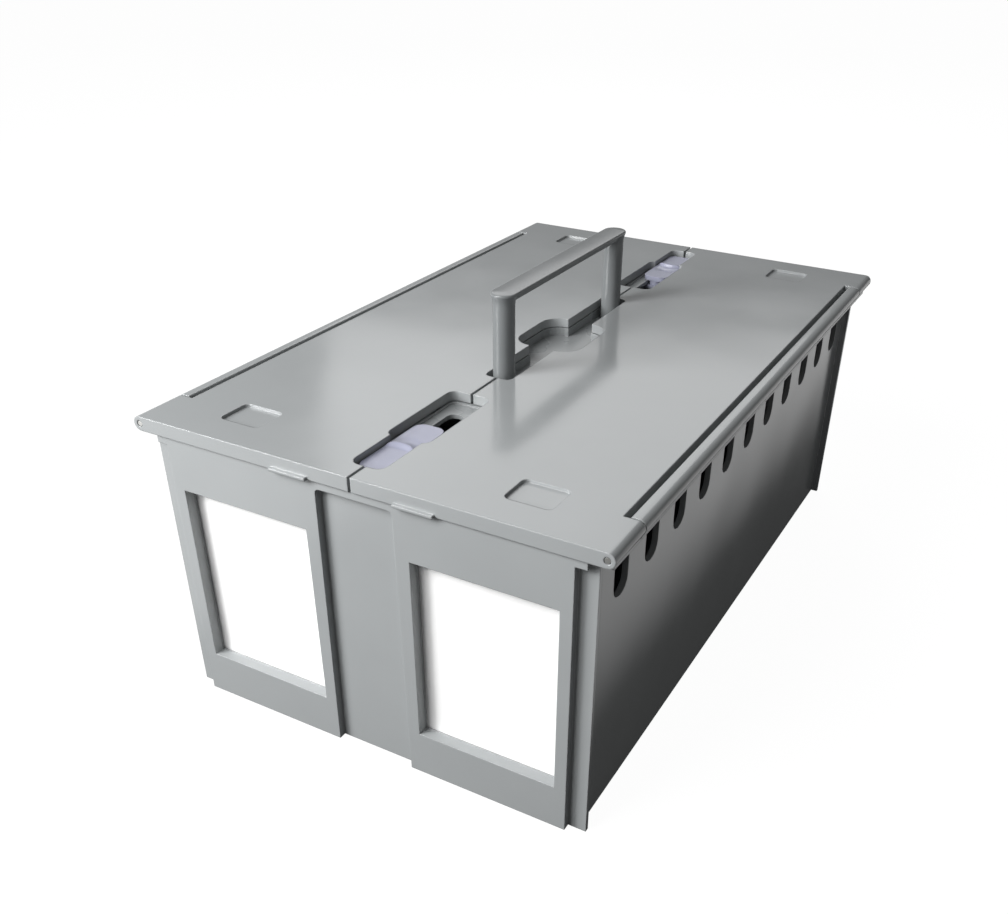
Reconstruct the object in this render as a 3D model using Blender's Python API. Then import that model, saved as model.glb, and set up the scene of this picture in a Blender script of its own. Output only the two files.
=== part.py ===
"""Two-row storage box for graded cards: hinged lids, a rising handle and two sliding latches.

Metres, +Z up, origin at the bottom centre, front face towards -Y.
The box stands closed, with the handle raised and both latches drawn outwards, unlocked.
"""
import math

import bmesh
import bpy

for item in list(bpy.data.objects):
    bpy.data.objects.remove(item, do_unlink=True)

# Clearances and fineness
gap = 0.0003
overrun = 0.002
weld = 0.001
arc_steps = 4
round_steps = 20
crease_angle = math.radians(30)

# Overall driving sizes
bin_width = 0.2352
bin_length = 0.4004
lid_top = 0.1644
lid_overhang = 0.0054
hinge_reach = 0.0094
barrel_radius = 0.0038

# Bin
side_wall = 0.0032
end_wall = 0.0025
floor_thickness = 0.003
spine_half = 0.0240
spine_wall = 0.0024
row_corner = 0.003
flange_reach = 0.0043
frame_proud = 0.0041
frame_inset = 0.0053
recess_half_top = 0.0214
recess_half_bottom = 0.0230
recess_corner = 0.0025
rim_height = 0.0042
rim_reach = 0.0004
shelf_reach = 0.001
shelf_thickness = 0.003
web_width = 0.003
web_rise = 0.0015
lip_thickness = 0.0016
lip_height = 0.003
lip_inset = 0.004

# Windows and label cards
window_border = 0.00635
window_drop = 0.0282
window_foot = 0.0255
card_margin = 0.0027
card_thickness = 0.0008
card_corner = 0.003
holder_wall = 0.0019
holder_lip = 0.0012
holder_overlap = 0.003

# Openings high in the side walls
slot_count = 11
slot_margin = 0.0277
slot_shift = 0.0051
slot_width = 0.0152
slot_corner = 0.0070
slot_drop = 0.0378
slot_head_depth = 0.003

# Hinges
knuckle_length = 0.0298
knuckle_gap = 0.001
barrel_corner = 0.0008
hinge_slot = 0.003
pin_radius = 0.0014
pin_length = 0.045
pin_recess = 0.0002

# Lids
seam_gap = 0.0015
lid_plate = 0.0026
lid_wall = 0.0024
pocket_side_margin = 0.0402
pocket_end_margin = 0.0286
pocket_size_x = 0.024
pocket_size_y = 0.020
pocket_corner = 0.003
pocket_depth = 0.0015
tab_inner = 0.024
tab_length = 0.021
tab_reach = 0.002
tab_thickness = 0.0015

# Openings in the lids over the spine
handle_slot_half = 0.0079
handle_slot_corner = 0.0035
grip_half = 0.020
grip_end = 0.0245
grip_corner = 0.012
latch_wide_half = 0.012
latch_wide_length = 0.0605
latch_narrow_half = 0.009
latch_narrow_length = 0.032
latch_end_margin = 0.0126
latch_space_corner = 0.005

# Spine cover
cover_drop = 0.0056
cover_plate = 0.0032
pan_depth = 0.0008
pan_inset = 0.0017
tub_depth = 0.0105
tub_inset = 0.0004
tub_wall = 0.0015
tub_floor = 0.002
collar_wall = 0.002
collar_depth = 0.0106
leg_clearance = 0.0004
latch_track_half = 0.0045
latch_track_start = 0.013
latch_track_end = 0.0026
latch_track_corner = 0.004

# Cover screws
screw_inset = 0.010
screw_from_latch = 0.0085
screw_from_handle = 0.017
screw_shank = 0.0012
screw_head = 0.003
screw_head_height = 0.002
screw_grip = 0.012
boss_half = 0.0045
boss_depth = 0.015

# Handle
handle_rise = 0.0446
cap_half_width = 0.007
cap_end_gap = 0.0006
cap_thickness = 0.0022
bar_height = 0.0036
bar_half_width = 0.0045
leg_inset = 0.0071
leg_half_width = 0.0058
leg_half_length = 0.0061
leg_corner = 0.0055
flare_height = 0.003
flare_reach = 0.0009
stop_margin = 0.003
stop_thickness = 0.003

# Latches
latch_half = 0.0083
latch_end_clearance = 0.0014
latch_length = 0.052
latch_plate = 0.003
latch_corner = 0.003
latch_neck_length = 0.020
latch_foot_half = 0.0142
latch_foot_thickness = 0.0021
latch_foot_lead = 0.0008
ridge_apex = 0.0255
ridge_radius = 0.0080
ridge_width = 0.0022
ridge_height = 0.0020

# Hooks under the lids, which the latch feet slide over
hook_from_end = 0.0055
hook_stem = 0.006
hook_barb = 0.0075
hook_inset = 0.0002
hook_thickness = 0.0022
barb_thickness = 0.002
hook_clearance = 0.0006

# Levels and places that follow from the sizes above
hinge_z = lid_top - barrel_radius
screw_x = spine_half - screw_inset
lid_foot = lid_top - 2 * barrel_radius
lid_ceiling = lid_top - lid_plate
rim_top = lid_foot - gap
wall_y = bin_length / 2
inner_y = wall_y - end_wall
frame_y = wall_y + frame_proud
lid_half_length = wall_y + lid_overhang
wall_x = bin_width / 2
inner_x = wall_x - side_wall
hinge_x = wall_x + hinge_reach
shelf_half = hinge_x + shelf_reach
flange_half = wall_x + flange_reach
rim_half = wall_x + rim_reach
frame_outer = wall_x - frame_inset
window_centre = (frame_outer + recess_half_bottom) / 2
window_width = frame_outer - recess_half_bottom - 2 * window_border
window_height = rim_top - window_drop - window_foot
slot_pitch = (bin_length - 2 * slot_margin) / (slot_count - 1)
slot_foot = rim_top - slot_drop
cover_top = lid_top - cover_drop
cover_foot = cover_top - cover_plate
spine_top = cover_foot - gap
over_cover = cover_top + gap
panel_edge = hinge_x - barrel_radius - hinge_slot
pocket_centre_x = panel_edge - pocket_side_margin
pocket_centre_y = lid_half_length - pocket_end_margin
latch_narrow_outer = lid_half_length - latch_end_margin
latch_wide_outer = latch_narrow_outer - latch_narrow_length
latch_wide_inner = latch_wide_outer - latch_wide_length
latch_track_inner = latch_wide_inner + latch_track_start
latch_track_outer = latch_wide_outer - latch_track_end
latch_inner = latch_track_outer - latch_neck_length - latch_end_clearance
hook_start = latch_wide_inner + hook_from_end
screw_y = latch_wide_inner - screw_from_latch
handle_slot_end = screw_y - screw_from_handle
cap_half_length = handle_slot_end - cap_end_gap
leg_centre = cap_half_length - leg_inset
knuckle_inner = lid_half_length - knuckle_length
barrel_end = knuckle_inner - knuckle_gap
bore_radius = pin_radius + gap
shank_bore = screw_shank + gap
collar_foot = cover_foot - collar_depth
tub_top = lid_top - tub_depth
tub_foot = tub_top - tub_floor
handle_top = lid_top + handle_rise
latch_low_z = cover_top - pan_depth + gap
latch_top_z = latch_low_z + latch_plate
latch_foot_top = cover_foot - gap
latch_foot_low = latch_foot_top - latch_foot_thickness
barb_top = latch_foot_low - gap
hook_low = barb_top - barb_thickness
hook_inner_x = latch_wide_half + hook_inset
hook_outer_x = hook_inner_x + hook_thickness


# Outlines

def arc(centre_u, centre_v, radius, start, end, steps):
    """Points on a circle arc from one angle to another, in degrees."""
    points = []
    for index in range(steps + 1):
        angle = math.radians(start + (end - start) * index / steps)
        points.append((centre_u + radius * math.cos(angle), centre_v + radius * math.sin(angle)))
    return points


def rectangle(low_u, high_u, low_v, high_v):
    """A plain rectangle, counter-clockwise."""
    return [(low_u, low_v), (high_u, low_v), (high_u, high_v), (low_u, high_v)]


def rounded(low_u, high_u, low_v, high_v, radius, steps=arc_steps):
    """A rectangle with round corners, counter-clockwise."""
    points = arc(high_u - radius, low_v + radius, radius, -90, 0, steps)
    points += arc(high_u - radius, high_v - radius, radius, 0, 90, steps)
    points += arc(low_u + radius, high_v - radius, radius, 90, 180, steps)
    points += arc(low_u + radius, low_v + radius, radius, 180, 270, steps)
    return points


def circle(centre_u, centre_v, radius, steps=round_steps):
    """A closed circle without a repeated last point."""
    return arc(centre_u, centre_v, radius, 0, 360, steps)[:-1]


# Solids

def place(axis, u, v, along):
    """Point of an outline that runs along one of the axes X, Y or Z."""
    if axis == "X":
        return (along, u, v)
    if axis == "Y":
        return (u, along, v)
    return (u, v, along)


def lofts(name, stacks, axis="Z"):
    """One object of closed solids, each a stack of (outline, distance along the axis) rings."""
    mesh = bpy.data.meshes.new(name)
    build = bmesh.new()
    for stack in stacks:
        rings = []
        for outline, along in stack:
            rings.append([build.verts.new(place(axis, u, v, along)) for u, v in outline])
        build.faces.new(rings[0])
        build.faces.new(rings[-1])
        for lower, upper in zip(rings, rings[1:]):
            count = len(lower)
            for index in range(count):
                following = (index + 1) % count
                build.faces.new((lower[index], lower[following], upper[following], upper[index]))
    bmesh.ops.recalc_face_normals(build, faces=build.faces)
    build.to_mesh(mesh)
    build.free()
    mesh.shade_smooth()
    mesh.set_sharp_from_angle(angle=crease_angle)
    item = bpy.data.objects.new(name, mesh)
    bpy.context.scene.collection.objects.link(item)
    return item


def prisms(name, shapes, axis="Z"):
    """One object of straight prisms, each given as (outline, start, end)."""
    stacks = []
    for outline, start, end in shapes:
        stacks.append([(outline, start), (outline, end)])
    return lofts(name, stacks, axis)


def combine(target, tool, operation):
    """Join or cut the target with a hidden tool object."""
    tool.hide_render = True
    tool.display_type = "WIRE"
    modifier = target.modifiers.new(tool.name, "BOOLEAN")
    modifier.operation = operation
    modifier.solver = "EXACT"
    modifier.object = tool


def join(target, tool):
    combine(target, tool, "UNION")


def cut(target, tool):
    combine(target, tool, "DIFFERENCE")


def both(shapes_of_side):
    """The shapes of the negative and the positive side in one list."""
    return shapes_of_side(-1) + shapes_of_side(1)


def span(side, near, far):
    """The ordered pair of two distances from the middle, on one side of it."""
    return (side * near, side * far) if side > 0 else (side * far, side * near)


# Materials

def plastic(name, colour, roughness, metallic=0):
    """A Principled material with one colour."""
    material = bpy.data.materials.new(name)
    material.use_nodes = True
    shader = material.node_tree.nodes["Principled BSDF"]
    shader.inputs["Base Color"].default_value = (*colour, 1)
    shader.inputs["Roughness"].default_value = roughness
    shader.inputs["Metallic"].default_value = metallic
    return material


def finish(item, material_name, colour, roughness, metallic=0):
    item.data.materials.append(plastic(material_name, colour, roughness, metallic))
    return item


grey = (0.33, 0.34, 0.34)
lavender = (0.56, 0.57, 0.70)
white = (0.90, 0.90, 0.90)
steel = (0.62, 0.62, 0.62)


# Bin body

def frame_outline():
    """Front view of one end's raised face: two legs that meet in the rim band."""
    return [
        (-frame_outer, 0), (frame_outer, 0), (frame_outer, rim_top - rim_height),
        (rim_half, rim_top - rim_height), (rim_half, rim_top), (-rim_half, rim_top),
        (-rim_half, rim_top - rim_height), (-frame_outer, rim_top - rim_height),
    ]


def recess_outline():
    """Front view of the sunk middle strip, slightly wider at its foot."""
    head = rim_top - rim_height
    points = [(-recess_half_bottom, -overrun), (recess_half_bottom, -overrun)]
    points += arc(recess_half_top - recess_corner, head - recess_corner, recess_corner, 0, 90, arc_steps)
    points += arc(recess_corner - recess_half_top, head - recess_corner, recess_corner, 90, 180, arc_steps)
    return points


def slot_outline(centre):
    """Side view of one opening: straight sides and round corners at its foot."""
    half = slot_width / 2
    centre_v = slot_foot + slot_corner
    points = arc(centre - half + slot_corner, centre_v, slot_corner, 180, 270, arc_steps)
    points += arc(centre + half - slot_corner, centre_v, slot_corner, 270, 360, arc_steps)
    head = rim_top - shelf_thickness - slot_head_depth
    return points + [(centre + half, head), (centre - half, head)]


def barrel_outline(side):
    """Front view of a hinge barrel: flat on top and towards the lid, round outside."""
    points = arc(hinge_x, hinge_z, barrel_radius, -90, 90, 2 * arc_steps)
    inner = hinge_x - barrel_radius
    points += arc(inner + barrel_corner, lid_top - barrel_corner, barrel_corner, 90, 180, arc_steps)
    points.append((inner, lid_foot))
    return [(side * u, v) for u, v in points]


def card_span(side):
    """Left and right edges of the label card on one side."""
    half = window_width / 2 + card_margin
    return span(side, window_centre - half, window_centre + half)


card_foot = window_foot - card_margin
card_head = window_foot + window_height + card_margin
card_face = inner_y - gap
card_back = card_face - card_thickness
holder_face = card_back - gap
holder_back = holder_face - holder_lip


def make_bin():
    body = prisms("bin_body", [(rectangle(-wall_x, wall_x, -wall_y, wall_y), 0, rim_top)])

    def raised(side):
        return [(frame_outline(), *span(side, wall_y - weld, frame_y))]
    join(body, prisms("frames", both(raised), "Y"))

    def sunk(side):
        return [(recess_outline(), *span(side, wall_y, frame_y + overrun))]
    cut(body, prisms("recesses", both(sunk), "Y"))

    def flange(side):
        low, high = span(side, inner_y, wall_y)
        return [(rectangle(-flange_half, flange_half, low, high), 0, rim_top)]
    join(body, prisms("flanges", both(flange)))

    def hinge_shelf(side):
        low, high = span(side, inner_x, shelf_half)
        return [(rectangle(low, high, rim_top - shelf_thickness, rim_top), -wall_y, wall_y)]
    join(body, prisms("hinge_shelves", both(hinge_shelf), "Y"))

    def web(side):
        low, high = span(side, hinge_x - web_width / 2, hinge_x + web_width / 2)
        return [(rectangle(low, high, rim_top - web_rise, hinge_z), -barrel_end, barrel_end)]
    join(body, prisms("webs", both(web), "Y"))

    def barrel(side):
        return [(barrel_outline(side), -barrel_end, barrel_end)]
    join(body, prisms("barrels", both(barrel), "Y"))

    def lips(end):
        lip_outer = lid_half_length - lid_wall - gap
        low_y, high_y = span(end, lip_outer - lip_thickness, lip_outer)
        lip_end = panel_edge - lid_wall - lip_inset
        shapes = []
        for side in (-1, 1):
            low_x, high_x = span(side, spine_half + lip_inset, lip_end)
            shapes.append((rectangle(low_x, high_x, low_y, high_y), rim_top - weld, rim_top + lip_height))
        return shapes
    join(body, prisms("lips", both(lips)))

    def row(side):
        low, high = span(side, spine_half, inner_x)
        return [(rounded(low, high, -inner_y, inner_y, row_corner), floor_thickness, lid_top)]
    cut(body, prisms("rows", both(row)))
    hollow_half = spine_half - spine_wall
    cut(body, prisms("spine_hollow", [
        (rectangle(-hollow_half, hollow_half, -inner_y, inner_y), floor_thickness, lid_top)]))
    cut(body, prisms("cover_seat", [
        (rectangle(-spine_half - overrun, spine_half + overrun, -inner_y, inner_y), spine_top, lid_top)]))

    def side_slots(side):
        low, high = span(side, inner_x - overrun, wall_x + overrun)
        first = slot_shift - slot_pitch * (slot_count - 1) / 2
        return [(slot_outline(first + index * slot_pitch), low, high) for index in range(slot_count)]
    cut(body, prisms("side_slots", both(side_slots), "X"))

    def windows(end):
        low, high = span(end, inner_y - overrun, frame_y + overrun)
        shapes = []
        for side in (-1, 1):
            left, right = span(side, window_centre - window_width / 2, window_centre + window_width / 2)
            shapes.append((rectangle(left, right, window_foot, window_foot + window_height), low, high))
        return shapes
    cut(body, prisms("windows", both(windows), "Y"))

    def holders(end):
        low, high = span(end, holder_back, inner_y + weld)
        shapes = []
        for side in (-1, 1):
            left, right = card_span(side)
            inner_left = left + holder_overlap
            inner_right = right - holder_overlap
            outer_left = left - gap - holder_wall
            outer_right = right + gap + holder_wall
            foot = card_foot - gap - holder_wall
            inner_foot = card_foot + holder_overlap
            shapes.append(([
                (outer_left, foot), (outer_right, foot), (outer_right, card_head), (inner_right, card_head),
                (inner_right, inner_foot), (inner_left, inner_foot), (inner_left, card_head),
                (outer_left, card_head)], low, high))
        return shapes
    join(body, prisms("holders", both(holders), "Y"))

    def card_spaces(end):
        low, high = span(end, holder_face, inner_y)
        shapes = []
        for side in (-1, 1):
            left, right = card_span(side)
            space = rectangle(left - gap, right + gap, card_foot - gap, card_head + overrun)
            shapes.append((space, low, high))
        return shapes
    cut(body, prisms("card_spaces", both(card_spaces), "Y"))

    def bosses(end):
        low_y, high_y = span(end, screw_y - boss_half, screw_y + boss_half)
        shapes = []
        for side in (-1, 1):
            low_x, high_x = span(side, screw_x - boss_half, hollow_half + weld)
            shapes.append((rectangle(low_x, high_x, low_y, high_y), spine_top - boss_depth, spine_top))
        return shapes
    join(body, prisms("bosses", both(bosses)))
    cut(body, prisms("boss_bores", screw_columns(
        shank_bore, spine_top - screw_grip - gap, spine_top + overrun)))

    def pin_bores(end):
        low, high = span(end, lid_half_length - pin_recess - pin_length - gap, barrel_end + overrun)
        return [(circle(side * hinge_x, hinge_z, bore_radius), low, high) for side in (-1, 1)]
    cut(body, prisms("pin_bores", both(pin_bores), "Y"))
    return finish(body, "grey polypropylene, bin", grey, 0.35)


# Spine cover, its screws and the pins

def screw_columns(radius, low, high):
    """Upright cylinders at the four places where the cover is screwed down."""
    columns = []
    for end in (-1, 1):
        for side in (-1, 1):
            columns.append((circle(side * screw_x, end * screw_y, radius), low, high))
    return columns


def leg_outline(end, margin):
    """Plan of a handle leg, grown by a margin all round."""
    half_x = leg_half_width + margin
    low, high = span(end, leg_centre - leg_half_length - margin, leg_centre + leg_half_length + margin)
    return rounded(-half_x, half_x, low, high, leg_corner + margin)


def channel_outline(margin):
    """Plan of the long opening for the handle, grown by a margin all round."""
    half = handle_slot_half + margin
    end = handle_slot_end + margin
    return rounded(-half, half, -end, end, handle_slot_corner + margin)


def grip_outline(margin):
    """Plan of the opening for the fingers, grown by a margin all round."""
    half = grip_half + margin
    end = grip_end + margin
    return rounded(-half, half, -end, end, grip_corner + margin, 2 * arc_steps)


def make_cover():
    end_y = inner_y - gap
    plate = rectangle(-spine_half, spine_half, -end_y, end_y)
    cover = prisms("spine_cover", [(plate, cover_foot, cover_top)])

    floor = cover_top - pan_depth
    pan_corner = latch_space_corner - pan_inset
    pan_half = latch_wide_half - pan_inset

    def latch_pan(end):
        low, high = span(end, latch_wide_inner + pan_inset, latch_narrow_outer + pan_inset)
        return [(rounded(-pan_half, pan_half, low, high, pan_corner), floor, cover_top + overrun)]
    cut(cover, prisms("latch_pans", both(latch_pan)))

    shell = tub_wall - tub_inset
    join(cover, prisms("channel_shell", [(channel_outline(shell), tub_foot, cover_foot + weld)]))
    join(cover, prisms("grip_shell", [(grip_outline(shell), tub_foot, cover_foot + weld)]))
    cut(cover, prisms("channel", [(channel_outline(-tub_inset), tub_top, cover_top + overrun)]))
    cut(cover, prisms("grip_tub", [(grip_outline(-tub_inset), tub_top, cover_top + overrun)]))

    def collar(end):
        return [(leg_outline(end, leg_clearance + collar_wall), collar_foot, tub_foot + weld)]
    join(cover, prisms("collars", both(collar)))

    def leg_hole(end):
        return [(leg_outline(end, leg_clearance), collar_foot - overrun, cover_top + overrun)]
    cut(cover, prisms("leg_holes", both(leg_hole)))

    def track(end):
        low, high = span(end, latch_track_inner, latch_track_outer)
        outline = rounded(-latch_track_half, latch_track_half, low, high, latch_track_corner)
        return [(outline, cover_foot - overrun, cover_top + overrun)]
    cut(cover, prisms("latch_tracks", both(track)))

    def hook_slot(end):
        near = hook_start - hook_clearance
        low_y, high_y = span(end, near, hook_start + hook_stem + hook_barb + hook_clearance)
        shapes = []
        for side in (-1, 1):
            low_x, high_x = span(side, hook_inner_x - hook_clearance, hook_outer_x + hook_clearance)
            outline = rectangle(low_x, high_x, low_y, high_y)
            shapes.append((outline, cover_foot - overrun, cover_top + overrun))
        return shapes
    cut(cover, prisms("hook_slots", both(hook_slot)))
    cut(cover, prisms("cover_screw_holes", screw_columns(
        shank_bore, cover_foot - overrun, cover_top + overrun)))
    return finish(cover, "grey polypropylene, cover", grey, 0.4)


def screw_stack(centre_x, centre_y, seat, direction, grip):
    """A screw whose head lies on its seat and whose shank runs the other way."""
    head = circle(centre_x, centre_y, screw_head)
    shank = circle(centre_x, centre_y, screw_shank)
    top = seat + direction * (gap + screw_head_height)
    under = seat + direction * gap
    return [(head, top), (head, under), (shank, under), (shank, seat - direction * grip)]


def make_cover_screw(name, side, end):
    screw = lofts(name, [screw_stack(side * screw_x, end * screw_y, cover_top, 1, screw_grip)])
    return finish(screw, "zinc steel, " + name, steel, 0.3, 1)


def make_pin(name, side, end):
    low, high = span(end, lid_half_length - pin_recess - pin_length, lid_half_length - pin_recess)
    pin = prisms(name, [(circle(0, 0, pin_radius), low, high)], "Y")
    pin.location = (side * hinge_x, 0, hinge_z)
    return finish(pin, "steel, " + name, steel, 0.25, 1)


# Lids, drawn for the right side; the left one is the same moulding turned half round

def lid_openings(margin, floor_level, ceiling_level):
    """Prisms of the openings over the spine, grown by a margin."""
    shapes = [(grip_outline(margin), floor_level, ceiling_level)]
    shapes.append((channel_outline(margin), floor_level, ceiling_level))
    corner = latch_space_corner + margin
    for end in (-1, 1):
        low, high = span(end, latch_wide_inner - margin, latch_wide_outer + margin)
        wide = latch_wide_half + margin
        shapes.append((rounded(-wide, wide, low, high, corner), floor_level, ceiling_level))
        low, high = span(end, latch_wide_outer - 2 * corner, latch_narrow_outer + margin)
        narrow = latch_narrow_half + margin
        shapes.append((rounded(-narrow, narrow, low, high, corner), floor_level, ceiling_level))
    return shapes


def make_lid(name, turned):
    turn = -1 if turned else 1

    def at(low_x, high_x):
        return (low_x, high_x) if turn > 0 else (-high_x, -low_x)

    seam = seam_gap / 2
    low_x, high_x = at(seam, panel_edge)
    panel = rectangle(low_x, high_x, -lid_half_length, lid_half_length)
    lid = prisms(name, [(panel, lid_foot, lid_top)])
    low_x, high_x = at(seam + lid_wall, panel_edge - lid_wall)
    inner_end = lid_half_length - lid_wall
    under = rectangle(low_x, high_x, -inner_end, inner_end)
    cut(lid, prisms(name + "_underside", [(under, lid_foot - overrun, lid_ceiling)]))

    for index, shape in enumerate(lid_openings(lid_wall, over_cover, lid_ceiling + weld)):
        join(lid, prisms(name + "_curb_" + str(index), [shape]))
    low_x, high_x = at(-latch_wide_half - grip_half, seam)
    beyond = rectangle(low_x, high_x, -lid_half_length, lid_half_length)
    cut(lid, prisms(name + "_seam", [(beyond, lid_foot - overrun, lid_top + overrun)]))
    low_x, high_x = at(-overrun, spine_half + overrun)
    over_spine = rectangle(low_x, high_x, -inner_end, inner_end)
    cut(lid, prisms(name + "_relief", [(over_spine, lid_foot - overrun, over_cover)]))
    for index, shape in enumerate(lid_openings(0, lid_foot - overrun, lid_top + overrun)):
        cut(lid, prisms(name + "_opening_" + str(index), [shape]))

    def stem(end):
        low_y, high_y = span(end, hook_start, hook_start + hook_stem)
        low, high = at(hook_inner_x, hook_outer_x)
        return [(rectangle(low, high, low_y, high_y), hook_low, over_cover + weld)]
    join(lid, prisms(name + "_hook_stems", both(stem)))

    def barb(end):
        low_y, high_y = span(end, hook_start, hook_start + hook_stem + hook_barb)
        low, high = at(hook_inner_x, hook_outer_x)
        return [(rectangle(low, high, low_y, high_y), hook_low, barb_top)]
    join(lid, prisms(name + "_hook_barbs", both(barb)))

    def pocket(end):
        half_y = pocket_size_y / 2
        low_y, high_y = span(end, pocket_centre_y - half_y, pocket_centre_y + half_y)
        low, high = at(pocket_centre_x - pocket_size_x / 2, pocket_centre_x + pocket_size_x / 2)
        outline = rounded(low, high, low_y, high_y, pocket_corner)
        return [(outline, lid_top - pocket_depth, lid_top + overrun)]
    cut(lid, prisms(name + "_pockets", both(pocket)))

    def tab(end):
        low_y, high_y = span(end, lid_half_length - weld, lid_half_length + tab_reach)
        low, high = at(tab_inner, tab_inner + tab_length)
        return [(rectangle(low, high, low_y, high_y), lid_foot, lid_foot + tab_thickness)]
    join(lid, prisms(name + "_tabs", both(tab)))

    def knuckle(end):
        start = turn * (panel_edge - lid_wall)
        if turn > 0:
            outline = [(start, lid_top), (start, lid_foot)]
            outline += arc(hinge_x, hinge_z, barrel_radius, -90, 90, 2 * arc_steps)
        else:
            outline = [(start, lid_foot), (start, lid_top)]
            outline += arc(-hinge_x, hinge_z, barrel_radius, 90, 270, 2 * arc_steps)
        return [(outline, *span(end, knuckle_inner, lid_half_length))]
    join(lid, prisms(name + "_knuckles", both(knuckle), "Y"))

    def bore(end):
        return [(circle(turn * hinge_x, hinge_z, bore_radius),
                 *span(end, knuckle_inner - overrun, lid_half_length + overrun))]
    cut(lid, prisms(name + "_bores", both(bore), "Y"))
    return finish(lid, "grey polypropylene, " + name, grey, 0.3)


# Handle with its screwed-on stops

def make_handle():
    cap_foot = handle_top - cap_thickness
    bar_foot = cap_foot - bar_height
    cap = rounded(-cap_half_width, cap_half_width, -cap_half_length, cap_half_length,
                  cap_half_width - gap, 2 * arc_steps)
    handle = prisms("handle", [(cap, cap_foot, handle_top)])
    bar = rectangle(-bar_half_width, bar_half_width, -leg_centre, leg_centre)
    join(handle, prisms("grip_bar", [(bar, bar_foot, cap_foot + weld)]))

    stacks = []
    for end in (-1, 1):
        wide = leg_outline(end, flare_reach)
        narrow = leg_outline(end, 0)
        flare_foot = cap_foot - flare_height
        shaft = [(narrow, collar_foot), (narrow, flare_foot)]
        stacks.append(shaft + [(wide, cap_foot), (wide, cap_foot + weld)])
    join(handle, lofts("legs", stacks))

    def screw_bore(end):
        return [(circle(0, end * leg_centre, shank_bore), collar_foot - overrun, collar_foot + screw_grip)]
    cut(handle, prisms("leg_screw_bores", both(screw_bore)))
    return finish(handle, "grey polypropylene, handle", grey, 0.3)


def make_leg_stop(name, end):
    half_y = leg_half_length + stop_margin
    low, high = span(end, leg_centre - half_y, leg_centre + half_y)
    half = leg_half_width + stop_margin
    top = collar_foot - gap
    plate = prisms(name, [(rounded(-half, half, low, high, leg_corner), top - stop_thickness, top)])
    hole = circle(0, end * leg_centre, shank_bore)
    cut(plate, prisms(name + "_hole", [(hole, top - stop_thickness - overrun, top + overrun)]))
    return finish(plate, "grey polypropylene, " + name, grey, 0.4)


def make_leg_screw(name, end):
    seat = collar_foot - gap - stop_thickness
    screw = lofts(name, [screw_stack(0, end * leg_centre, seat, -1, screw_grip)])
    return finish(screw, "zinc steel, " + name, steel, 0.3, 1)


# Latches

def make_latch(name, end):
    low, high = span(end, latch_inner, latch_inner + latch_length)
    outline = rounded(-latch_half, latch_half, low, high, latch_corner)
    latch = prisms(name, [(outline, latch_low_z, latch_top_z)])

    track_half = latch_track_half - gap
    low, high = span(end, latch_inner + gap, latch_inner + gap + latch_neck_length)
    neck = rounded(-track_half, track_half, low, high, latch_track_corner - gap)
    join(latch, prisms(name + "_neck", [(neck, latch_foot_low + weld, latch_low_z + weld)]))
    low, high = span(end, latch_inner - latch_foot_lead, latch_inner + gap + latch_neck_length)
    foot = rectangle(-latch_foot_half, latch_foot_half, low, high)
    join(latch, prisms(name + "_foot", [(foot, latch_foot_low, latch_foot_top)]))

    centre = latch_inner + ridge_apex + ridge_radius
    start, stop = (180, 360) if end > 0 else (0, 180)
    ridge = arc(0, end * centre, ridge_radius, start, stop, 3 * arc_steps)
    ridge += reversed(arc(0, end * centre, ridge_radius - ridge_width, start, stop, 3 * arc_steps))
    join(latch, prisms(name + "_ridge", [(ridge, latch_top_z - weld, latch_top_z + ridge_height)]))
    return finish(latch, "milky polypropylene, " + name, lavender, 0.3)


# Label cards behind the windows

def make_card(name, side, end):
    left, right = card_span(side)
    low, high = span(end, card_back, card_face)
    card = prisms(name, [(rounded(left, right, card_foot, card_head, card_corner), low, high)], "Y")
    return finish(card, "white card, " + name, white, 0.6)


make_bin()
make_cover()
make_lid("left_lid", True)
make_lid("right_lid", False)
make_handle()
for end_name, end_sign in (("front", -1), ("rear", 1)):
    make_leg_stop(end_name + "_leg_stop", end_sign)
    make_leg_screw(end_name + "_leg_screw", end_sign)
    make_latch(end_name + "_latch", end_sign)
    for side_name, side_sign in (("left", -1), ("right", 1)):
        make_cover_screw(end_name + "_" + side_name + "_cover_screw", side_sign, end_sign)
        make_pin(end_name + "_" + side_name + "_hinge_pin", side_sign, end_sign)
        make_card(end_name + "_" + side_name + "_label_card", side_sign, end_sign)
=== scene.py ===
import math

import bpy
import numpy as np
from mathutils import Matrix, Vector


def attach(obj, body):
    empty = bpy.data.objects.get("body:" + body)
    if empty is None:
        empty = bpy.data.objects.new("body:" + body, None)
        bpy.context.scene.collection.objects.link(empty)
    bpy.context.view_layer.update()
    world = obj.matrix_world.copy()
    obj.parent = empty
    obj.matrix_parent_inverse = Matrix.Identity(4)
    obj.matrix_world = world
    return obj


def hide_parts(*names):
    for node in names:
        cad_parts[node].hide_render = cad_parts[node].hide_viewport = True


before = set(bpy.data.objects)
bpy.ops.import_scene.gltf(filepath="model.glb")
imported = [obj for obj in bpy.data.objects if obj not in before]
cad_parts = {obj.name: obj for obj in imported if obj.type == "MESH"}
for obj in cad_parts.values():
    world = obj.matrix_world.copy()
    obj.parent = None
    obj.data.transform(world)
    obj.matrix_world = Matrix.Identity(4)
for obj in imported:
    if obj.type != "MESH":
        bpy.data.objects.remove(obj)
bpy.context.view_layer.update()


# Camera. A tripod camera in front of the box and to its right, above the lids and looking down
# at 34 degrees. The frame is shifted, as a view camera's is, to leave the empty space at the top.

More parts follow.
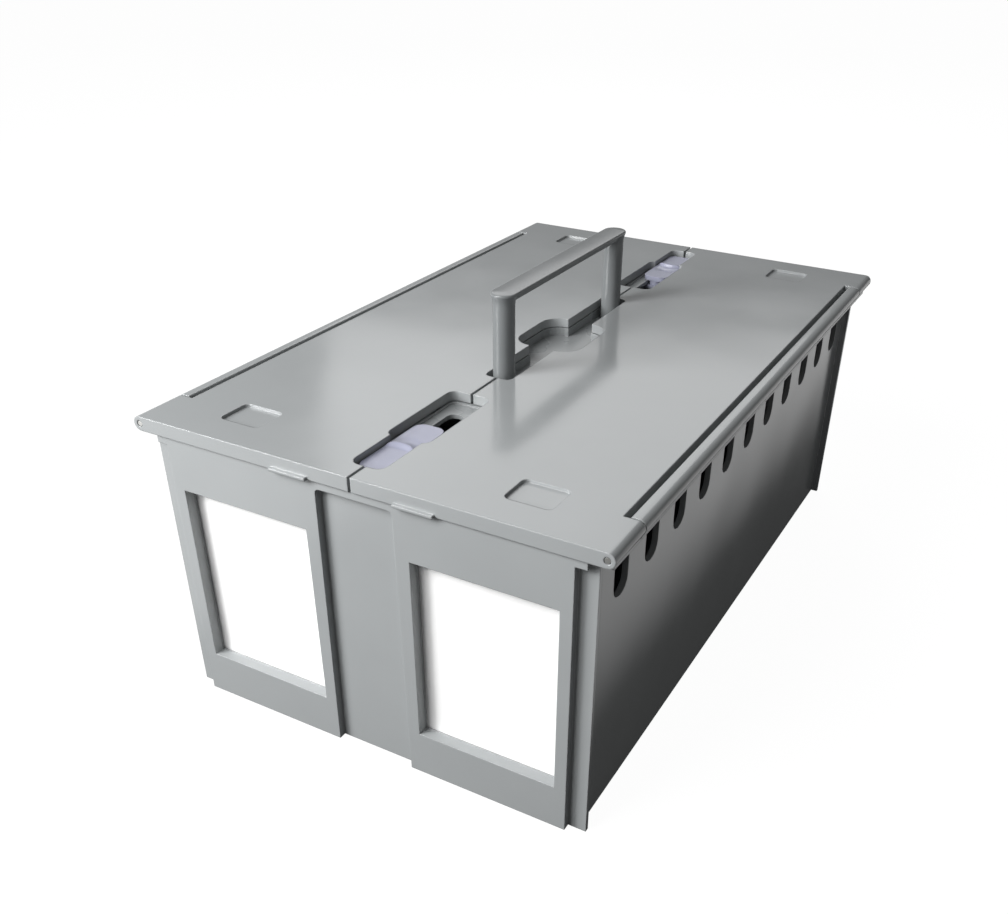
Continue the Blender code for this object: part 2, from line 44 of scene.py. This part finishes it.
camera_place = Vector((0.2688, -0.5328, 0.3858))
heading, pitch, roll = math.radians(118.1901), math.radians(-33.6201), math.radians(0.8602)
ahead = Vector((math.cos(heading) * math.cos(pitch), math.sin(heading) * math.cos(pitch), math.sin(pitch)))
level = Vector((math.sin(heading), -math.cos(heading), 0))
above = level.cross(ahead)
right = math.cos(roll) * level + math.sin(roll) * above
up = math.cos(roll) * above - math.sin(roll) * level
camera_data = bpy.data.cameras.new("camera")
camera_data.sensor_fit = "HORIZONTAL"
camera_data.sensor_width = 36
camera_data.lens = 37.807
camera_data.shift_x = -0.0283
camera_data.shift_y = 0.1254
camera_data.clip_start = 0.01
camera = bpy.data.objects.new("camera", camera_data)
bpy.context.scene.collection.objects.link(camera)
camera.matrix_world = Matrix.Translation(camera_place) @ Matrix((right, up, -ahead)).transposed().to_4x4()
bpy.context.scene.camera = camera
bpy.context.scene.view_settings.view_transform = "Standard"


# Studio. A pale floor that runs on to the horizon, one large soft lamp high at the front left, a
# smaller one lower down beside it, and a wide, weak one behind, which the polished lids mirror.
# The room beyond gives a dim even light.

def linear(code):
    """One sRGB hex colour as linear red, green, blue and alpha."""
    levels = [int(code[place:place + 2], 16) / 255 for place in (1, 3, 5)]
    return [value / 12.92 if value <= 0.04045 else ((value + 0.055) / 1.055) ** 2.4 for value in levels] + [1]


def add(tree, kind, links=(), **settings):
    """Adds a shader node with its settings; links gives each input a value or another node's output."""
    made = tree.nodes.new(kind)
    for name, value in settings.items():
        setattr(made, name, value)
    for socket, value in dict(links).items():
        if isinstance(value, bpy.types.NodeSocket):
            tree.links.new(value, made.inputs[socket])
        else:
            made.inputs[socket].default_value = value
    return made


def lamp(name, place, target, width, height, power):
    """A soft box of a width and height that stands at a place and faces a target."""
    data = bpy.data.lights.new(name, "AREA")
    data.shape = "RECTANGLE"
    data.size = width
    data.size_y = height
    data.energy = power
    holder = bpy.data.objects.new(name, data)
    bpy.context.scene.collection.objects.link(holder)
    facing = (Vector(target) - Vector(place)).to_track_quat("-Z", "Y").to_matrix().to_4x4()
    holder.matrix_world = Matrix.Translation(place) @ facing


lamp("key_soft_box", (-0.52, -1.15, 1.12), (0, -0.05, 0.1), 0.8, 0.8, 23)
lamp("left_fill", (-0.62, -0.76, 0.50), (0, -0.2, 0.15), 0.4, 0.4, 9)
lamp("rear_soft_box", (-0.70, 1.48, 1.38), (0, 0, 0.15), 1.3, 1.2, 7.5)

room = bpy.data.worlds.new("dim_room")
bpy.context.scene.world = room
room.use_nodes = True
room_tree = room.node_tree
room_tree.nodes.clear()
room_ray = add(room_tree, "ShaderNodeLightPath")
room_glow = add(room_tree, "ShaderNodeBackground", {"Color": linear("#FFFFFF"), "Strength": 0.18})
room_white = add(room_tree, "ShaderNodeBackground", {"Color": linear("#FFFFFF"), "Strength": 1.0})
room_mix = add(room_tree, "ShaderNodeMixShader", {
    0: room_ray.outputs["Is Camera Ray"], 1: room_glow.outputs[0], 2: room_white.outputs[0]})
add(room_tree, "ShaderNodeOutputWorld", {"Surface": room_mix.outputs[0]})

floor_half = 12.0
floor_corners = [(x * floor_half, y * floor_half, 0) for x, y in ((-1, -1), (1, -1), (1, 1), (-1, 1))]
floor_mesh = bpy.data.meshes.new("studio_floor")
floor_mesh.from_pydata(floor_corners, [], [(0, 1, 2, 3)])
floor = bpy.data.objects.new("studio_floor", floor_mesh)
bpy.context.scene.collection.objects.link(floor)

# Matt pale board: the camera sees it nearly white, a little darker where the box shades it
board = bpy.data.materials.new("matt_pale_board")
board.use_nodes = True
board_tree = board.node_tree
board_tree.nodes.clear()
board_ray = add(board_tree, "ShaderNodeLightPath")
# Painted shade in the board's mirrored glow: seen in the box's sides, it is dim beside the box,
# where the box would stand in its light, and bright again from 4 cm further out
painted_shade_to_x, bright_from_x, painted_shade_sheen, bright_sheen, white_level = 0.145, 0.185, 0.05, 0.90, 0.97
board_away = add(board_tree, "ShaderNodeVectorMath", {
    0: add(board_tree, "ShaderNodeTexCoord").outputs["Object"]}, operation="ABSOLUTE")
board_side = add(board_tree, "ShaderNodeSeparateXYZ", {0: board_away.outputs[0]})
# Painted shade: the glow that glossy rays see rises from dim to bright with distance out from the box's sides
board_painted_shade = add(board_tree, "ShaderNodeMapRange", {
    "Value": board_side.outputs["X"], "From Min": painted_shade_to_x, "From Max": bright_from_x,
    "To Min": painted_shade_sheen, "To Max": bright_sheen})
board_seen = add(board_tree, "ShaderNodeMath", {
    0: board_ray.outputs["Is Glossy Ray"], 1: board_painted_shade.outputs[0], 2: board_ray.outputs["Is Camera Ray"]},
    operation="MULTIPLY_ADD")
board_level = add(board_tree, "ShaderNodeMath", {
    0: board_seen.outputs[0], 1: white_level}, operation="MULTIPLY")
board_glow = add(board_tree, "ShaderNodeEmission", {
    "Color": linear("#FFFFFF"), "Strength": board_level.outputs[0]})
board_matt = add(board_tree, "ShaderNodeBsdfDiffuse", {"Color": linear("#4A4A4A")})
board_sum = add(board_tree, "ShaderNodeAddShader", {0: board_glow.outputs[0], 1: board_matt.outputs[0]})
add(board_tree, "ShaderNodeOutputMaterial", {"Surface": board_sum.outputs[0]})
floor_mesh.materials.append(board)


# Bin. One injection moulding in grey polypropylene: two rows, the hollow spine between them, the
# framed windows at both ends, and the hinge rims. Polished moulds leave every edge slightly round.

def moulded_grey(name, tint, roughness, edge):
    """Polished polypropylene: a tint with a faint flow cloud, gloss that varies with it, and edges
    that catch the light over a radius, as the mould leaves them."""
    material = bpy.data.materials.new(name)
    material.use_nodes = True
    tree = material.node_tree
    shader = tree.nodes["Principled BSDF"]
    place = add(tree, "ShaderNodeTexCoord").outputs["Object"]
    # Flow cloud left by the melt, about 45 mm from light to dark
    cloud_size = 0.045
    cloud = add(tree, "ShaderNodeTexNoise", {
        "Vector": place, "Scale": 1 / cloud_size, "Detail": 3.0, "Roughness": 0.5})
    low, high = linear(tint[0]), linear(tint[1])
    shade = add(tree, "ShaderNodeMix", {0: cloud.outputs["Fac"], 6: low, 7: high}, data_type="RGBA")
    tree.links.new(shade.outputs[2], shader.inputs["Base Color"])
    gloss = add(tree, "ShaderNodeMapRange", {
        "Value": cloud.outputs["Fac"], "From Min": 0.3, "From Max": 0.7,
        "To Min": roughness * 0.85, "To Max": roughness * 1.15})
    tree.links.new(gloss.outputs[0], shader.inputs["Roughness"])
    # The finish left by the spark-eroded mould is 0.05 mm fine; drawn at 1.2 mm so that it shows
    grain_size = 0.0012
    grain = add(tree, "ShaderNodeTexNoise", {"Vector": place, "Scale": 1 / grain_size, "Detail": 2.0})
    # Long swells of a thin moulded wall, about 60 mm apart
    swell_size = 0.060
    swell = add(tree, "ShaderNodeTexNoise", {"Vector": place, "Scale": 1 / swell_size, "Detail": 0.0})
    rounded = add(tree, "ShaderNodeBevel", {"Radius": edge}, samples=6)
    wavy = add(tree, "ShaderNodeBump", {
        "Height": swell.outputs["Fac"], "Strength": 0.35, "Distance": 0.0012, "Normal": rounded.outputs[0]})
    fine = add(tree, "ShaderNodeBump", {
        "Height": grain.outputs["Fac"], "Strength": 0.10, "Distance": 0.00003, "Normal": wavy.outputs[0]})
    tree.links.new(fine.outputs[0], shader.inputs["Normal"])
    shader.inputs["IOR"].default_value = 1.49
    return material


def dress(node, material):
    """Keeps a CAD node as it is and gives it its material."""
    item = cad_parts[node]
    item.data.materials.clear()
    item.data.materials.append(material)
    return item


def soften(node, edge, material):
    """Keeps a CAD node, rounds its edges to a radius as the mould does, and gives it its material."""
    item = dress(node, material)
    merge = item.modifiers.new("merge", "WELD")
    merge.merge_threshold = 0.00001
    round_edges = item.modifiers.new("moulded_edges", "BEVEL")
    round_edges.width = edge
    round_edges.segments = 3
    round_edges.limit_method = "ANGLE"
    round_edges.angle_limit = math.radians(35)
    round_edges.miter_outer = "MITER_ARC"
    flat_faces = item.modifiers.new("flat_faces", "WEIGHTED_NORMAL")
    flat_faces.weight = 100
    item.data.shade_smooth()


grey_tint = ("#929596", "#9A9D9E")
soften("bin_body", 0.0005, moulded_grey("polished_grey_polypropylene_bin", grey_tint, 0.17, 0.0006))


# Label cards. Plain white card, 82.0 by 108.2 mm and 0.8 mm thick, cut with a die and slid behind
# each window from inside. The matt face has a barely visible fibre.

card_stock = bpy.data.materials.new("matt_white_card")
card_stock.use_nodes = True
card_tree = card_stock.node_tree
card_shader = card_tree.nodes["Principled BSDF"]
card_place = add(card_tree, "ShaderNodeTexCoord").outputs["Object"]
# Fibres are 0.03 mm thick; drawn 0.7 mm wide so that they show
fibre_size = 0.0007
fibre = add(card_tree, "ShaderNodeTexNoise", {"Vector": card_place, "Scale": 1 / fibre_size, "Detail": 4.0})
card_shade = add(card_tree, "ShaderNodeMix", {
    0: fibre.outputs["Fac"], 6: linear("#F6F6F5"), 7: linear("#FBFBFB")}, data_type="RGBA")
card_tree.links.new(card_shade.outputs[2], card_shader.inputs["Base Color"])
card_bump = add(card_tree, "ShaderNodeBump", {
    "Height": fibre.outputs["Fac"], "Strength": 0.15, "Distance": 0.00004})
card_tree.links.new(card_bump.outputs[0], card_shader.inputs["Normal"])
card_shader.inputs["Roughness"].default_value = 0.6
for end in ("front", "rear"):
    for side in ("left", "right"):
        soften(f"{end}_{side}_label_card", 0.00015, card_stock)


# Spine cover. A flat grey moulding that closes the spine. It carries the shallow trays for the
# latches and the handle, and the collars in which the handle's legs slide.

cover_tint = ("#888B8C", "#909394")
dress("spine_cover", moulded_grey("polished_grey_polypropylene_cover", cover_tint, 0.26, 0.0005))


# Cover screws. Four zinc-plated steel screws hold the cover down on its bosses, and two more hold
# the stops under the handle's legs.

def bright_steel(name, roughness):
    """Plated or drawn steel: pale metal with a fine cloud in its gloss."""
    material = bpy.data.materials.new(name)
    material.use_nodes = True
    tree = material.node_tree
    shader = tree.nodes["Principled BSDF"]
    place = add(tree, "ShaderNodeTexCoord").outputs["Object"]
    cloud_size, spread = 0.0008, 0.08
    cloud = add(tree, "ShaderNodeTexNoise", {"Vector": place, "Scale": 1 / cloud_size, "Detail": 2.0})
    gloss = add(tree, "ShaderNodeMapRange", {
        "Value": cloud.outputs["Fac"], "To Min": roughness - spread, "To Max": roughness + spread})
    tree.links.new(gloss.outputs[0], shader.inputs["Roughness"])
    shader.inputs["Base Color"].default_value = linear("#D3D3D0")
    shader.inputs["Metallic"].default_value = 1
    return material


# Zinc laid on the finished screws in a bath
zinc = bright_steel("zinc_plated_steel", 0.30)
for screw in ("front_left_cover_screw", "front_right_cover_screw", "rear_left_cover_screw",
              "rear_right_cover_screw", "front_leg_screw", "rear_leg_screw"):
    soften(screw, 0.0002, zinc)


# Lids. Two polished grey mouldings that meet over the spine. Each turns on steel pins at its outer
# edge, and its edges are the roundest on the box, because they are what the hand meets.

lid_finish = moulded_grey("polished_grey_polypropylene_lid", grey_tint, 0.15, 0.0009)
for lid in ("left_lid", "right_lid"):
    soften(lid, 0.0006, lid_finish)


# Hinge pins. Drawn steel wire, cut and pressed into the rim barrels from both ends.

drawn_steel = bright_steel("drawn_steel_wire", 0.38)
for end in ("front", "rear"):
    for side in ("left", "right"):
        soften(f"{end}_{side}_hinge_pin", 0.0003, drawn_steel)


# Handle. One grey moulding of a crowned cap and a bar on two oval legs, which slides up out of the
# spine. The legs swell under the cap, and two rounded plates screwed below them are their stops.

def skin(rings):
    """A closed shell over rings of equal count: one quad per cell and one flat face at each end."""
    rows, columns = rings.shape[:2]
    number = np.arange(rows * columns).reshape(rows, columns)
    following = np.roll(number, -1, axis=1)
    quads = np.stack([number[:-1], following[:-1], following[1:], number[1:]], axis=2).reshape(-1, 4)
    return rings.reshape(-1, 3), quads.tolist() + [number[0][::-1].tolist(), number[-1].tolist()]


def moulding(name, body, shells, material, edge):
    """One piece made of closed shells, with its sharp edges rounded, in place of a CAD node."""
    points = np.concatenate([shell[0] for shell in shells])
    starts = np.cumsum([0] + [len(shell[0]) for shell in shells])
    faces = [[index + start for index in face] for shell, start in zip(shells, starts) for face in shell[1]]
    mesh = bpy.data.meshes.new(name)
    mesh.from_pydata(points.tolist(), [], faces)
    mesh.materials.append(material)
    mesh.shade_smooth()
    piece = bpy.data.objects.new(name, mesh)
    bpy.context.scene.collection.objects.link(piece)
    edges = piece.modifiers.new("moulded_edges", "BEVEL")
    edges.width = edge
    edges.segments = 3
    edges.limit_method = "ANGLE"
    edges.angle_limit = math.radians(50)
    flats = piece.modifiers.new("flat_faces", "WEIGHTED_NORMAL")
    flats.weight = 60
    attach(piece, body)
    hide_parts(body)


def stadium(half_x, half_y, levels, insets, place_y=0.0):
    """Rings of a long outline with round ends: x = a cos t, y = +-(b - a) + a sin t, at each level.

    a and b are the half sizes less the level's inset, and the sign is that of sin t."""
    columns = 96
    turn = (np.arange(columns) + 0.5) * 2 * np.pi / columns
    a = half_x - insets[:, None]
    b = half_y - insets[:, None]
    x = a * np.cos(turn)
    y = place_y + np.sign(np.sin(turn)) * (b - a) + a * np.sin(turn)
    return np.stack([x, y, np.repeat(levels[:, None], columns, axis=1)], axis=2)


handle_top_z = 0.2090
cap_half_x, cap_half_y, cap_height, cap_crown = 0.0070, 0.0744, 0.0022, 0.0004
cap_foot_round, cap_top_round = 0.0006, 0.0009
bar_half_x, bar_depth, bar_round = 0.0045, 0.0036, 0.0014
leg_place_y, leg_half_x, leg_half_y, leg_foot_z = 0.0673, 0.0058, 0.0061, 0.1450
flare_height, flare_reach, flare_power = 0.0060, 0.0009, 2.4
buried = 0.0004
cap_foot_z = handle_top_z - cap_height

# The cap's rings run from inside its underside round the edge to near the middle of its top
swing = np.linspace(0, np.pi / 2, 7)
under_insets, top_insets = np.array([0.0040, 0.0020]), np.array([0.0020, 0.0035, 0.0050, 0.0062])
cap_insets = np.concatenate([under_insets, cap_foot_round * (1 - np.sin(swing)),
                             cap_top_round * (1 - np.cos(swing)), top_insets])
cap_levels = np.concatenate([np.zeros(under_insets.size), cap_foot_round * (1 - np.cos(swing)),
                             cap_height - cap_top_round + cap_top_round * np.sin(swing),
                             np.full(top_insets.size, cap_height)])
# The crown: the cap is 0.4 mm higher along its middle than at its edge
inward, upward = np.clip(1 - cap_insets / cap_half_x, 0, 1), np.clip(cap_levels / cap_height, 0, 1)
cap_z = cap_foot_z + cap_levels - cap_crown * inward ** 2 * upward
handle_shells = [skin(stadium(cap_half_x, cap_half_y, cap_z, cap_insets))]

# The bar is rounded along its foot, and its top is buried in the cap
bar_insets = np.concatenate([bar_round * (1 - np.sin(swing)), [0]])
bar_levels = np.concatenate([bar_round * (1 - np.cos(swing)), [bar_depth + buried]])
handle_shells.append(skin(stadium(bar_half_x, leg_place_y, cap_foot_z - bar_depth + bar_levels, bar_insets)))

# Each leg is straight up to its flare, and the flare widens by a power of the height
leg_levels = np.concatenate([[leg_foot_z], np.linspace(cap_foot_z - flare_height, cap_foot_z + buried, 13)])
flare = np.clip((leg_levels - cap_foot_z + flare_height) / flare_height, 0, 1) ** flare_power
for place_y in (-leg_place_y, leg_place_y):
    handle_shells.append(skin(stadium(leg_half_x, leg_half_y, leg_levels, -flare_reach * flare, place_y)))

handle_finish = moulded_grey("polished_grey_polypropylene_handle", ("#727576", "#7A7D7E"), 0.20, 0.0004)
moulding("handle_moulding", "handle", handle_shells, handle_finish, 0.0004)
for stop in ("front_leg_stop", "rear_leg_stop"):
    soften(stop, 0.0004, handle_finish)


# Latches. Two sliders moulded in uncoloured polypropylene, which is milky with a violet cast, so
# light enters a little way and the edges glow.

milky = bpy.data.materials.new("milky_uncoloured_polypropylene")
milky.use_nodes = True
milky_tree = milky.node_tree
milky_shader = milky_tree.nodes["Principled BSDF"]
milky_place = add(milky_tree, "ShaderNodeTexCoord").outputs["Object"]
# Cloudiness of the melt, about 9 mm from clear to milky
haze_size = 0.009
haze = add(milky_tree, "ShaderNodeTexNoise", {"Vector": milky_place, "Scale": 1 / haze_size, "Detail": 2.0})
milky_shade = add(milky_tree, "ShaderNodeMix", {
    0: haze.outputs["Fac"], 6: linear("#9092A3"), 7: linear("#9C9EAF")}, data_type="RGBA")
milky_tree.links.new(milky_shade.outputs[2], milky_shader.inputs["Base Color"])
milky_shader.inputs["Roughness"].default_value = 0.28
milky_shader.inputs["Subsurface Weight"].default_value = 0.25
milky_shader.inputs["Subsurface Radius"].default_value = (1.0, 0.9, 1.1)
milky_shader.inputs["Subsurface Scale"].default_value = 0.002
latch_top_z, latch_half_width, latch_from_centre = 0.1613, 0.0083, 0.1370


def latch_plate():
    """The slider's plate: x = u w(v), y = v, z = top + ridge(u, v) - hollow(u, v), closed round below.

    w(v) follows a rounded outline whose inner end is a wide arc. The ridge is a crescent between two
    arcs, steep on its inner side and sloping on its outer one, and the hollow behind it is a
    Gaussian dip for the thumb."""
    length, thickness, nose, tip_half_width, corner = 0.052, 0.0030, 0.0050, 0.0030, 0.0040
    ridge_height, steep_share = 0.0019, 0.22
    hollow_depth, hollow_behind, hollow_spread = 0.0007, 0.0050, 0.0032
    turn = np.linspace(0, np.pi / 2, 11)
    along = np.concatenate([nose * (1 - np.cos(turn)), np.linspace(nose, length - corner, 90)[1:-1],
                            length - corner + corner * np.sin(turn)])
    inner = 1 - np.clip(1 - along / nose, 0, 1) ** 2
    outer = 1 - np.clip((along - length + corner) / corner, 0, 1) ** 2
    width = tip_half_width + (latch_half_width - tip_half_width) * np.sqrt(inner)
    width = np.minimum(width, latch_half_width - corner * (1 - np.sqrt(np.clip(outer, 0, 1))))
    across = np.linspace(-1, 1, 41)
    x = width[:, None] * across[None, :]
    y = np.repeat(along[:, None], across.size, axis=1)
    apex, back_radius, front_radius, crest = 0.0245, 0.0125, 0.0260, 0.0052
    back = apex + back_radius - np.sqrt(back_radius ** 2 - x ** 2)
    front = apex + crest + front_radius - np.sqrt(front_radius ** 2 - x ** 2)
    share = np.clip((y - back) / np.maximum(front - back, 0.0008), 0, 1)
    rise = np.clip(share / steep_share, 0, 1)
    fall = np.clip((1 - share) / (1 - steep_share), 0, 1)
    ridge = ridge_height * (3 * rise ** 2 - 2 * rise ** 3) * (3 * fall ** 2 - 2 * fall ** 3)
    taper = np.clip(1 - (x / latch_half_width) ** 6, 0, 1)
    dip = np.exp(-((y - back + hollow_behind) / hollow_spread) ** 2)
    hollow = hollow_depth * dip * (1 - (x / latch_half_width) ** 2)
    z = latch_top_z + ridge * taper - hollow
    underside = np.stack([x[:, ::-1], y, np.full_like(x, latch_top_z - thickness)], axis=2)
    return np.concatenate([np.stack([x, y, z], axis=2), underside], axis=1) + (0, latch_from_centre, 0)


def block(low, high):
    """A plain block as two rings of four corners, one at each end of its length."""
    (x0, y0, z0), (x1, y1, z1) = low, high
    return np.array([[(x0, y, z0), (x0, y, z1), (x1, y, z1), (x1, y, z0)] for y in (y0, y1)])


# The neck is round-ended, like the track in the cover that it slides in, and the foot below the
# cover is a plain bar that runs over the lids' hooks
neck_half_x, neck_half_y, neck_middle_y = 0.0042, 0.0100, 0.1473
neck_levels = np.array([0.1542, 0.1590])
foot_low, foot_high = (-0.0142, 0.1362, 0.1532), (0.0142, 0.1573, 0.1553)
latch_neck = stadium(neck_half_x, neck_half_y, neck_levels, np.zeros(neck_levels.size), neck_middle_y)
latch_rings = [latch_plate(), latch_neck, block(foot_low, foot_high)]
for latch, turned in (("front_latch", (-1, -1, 1)), ("rear_latch", (1, 1, 1))):
    moulding(latch + "_moulding", latch, [skin(rings * turned) for rings in latch_rings], milky, 0.0006)
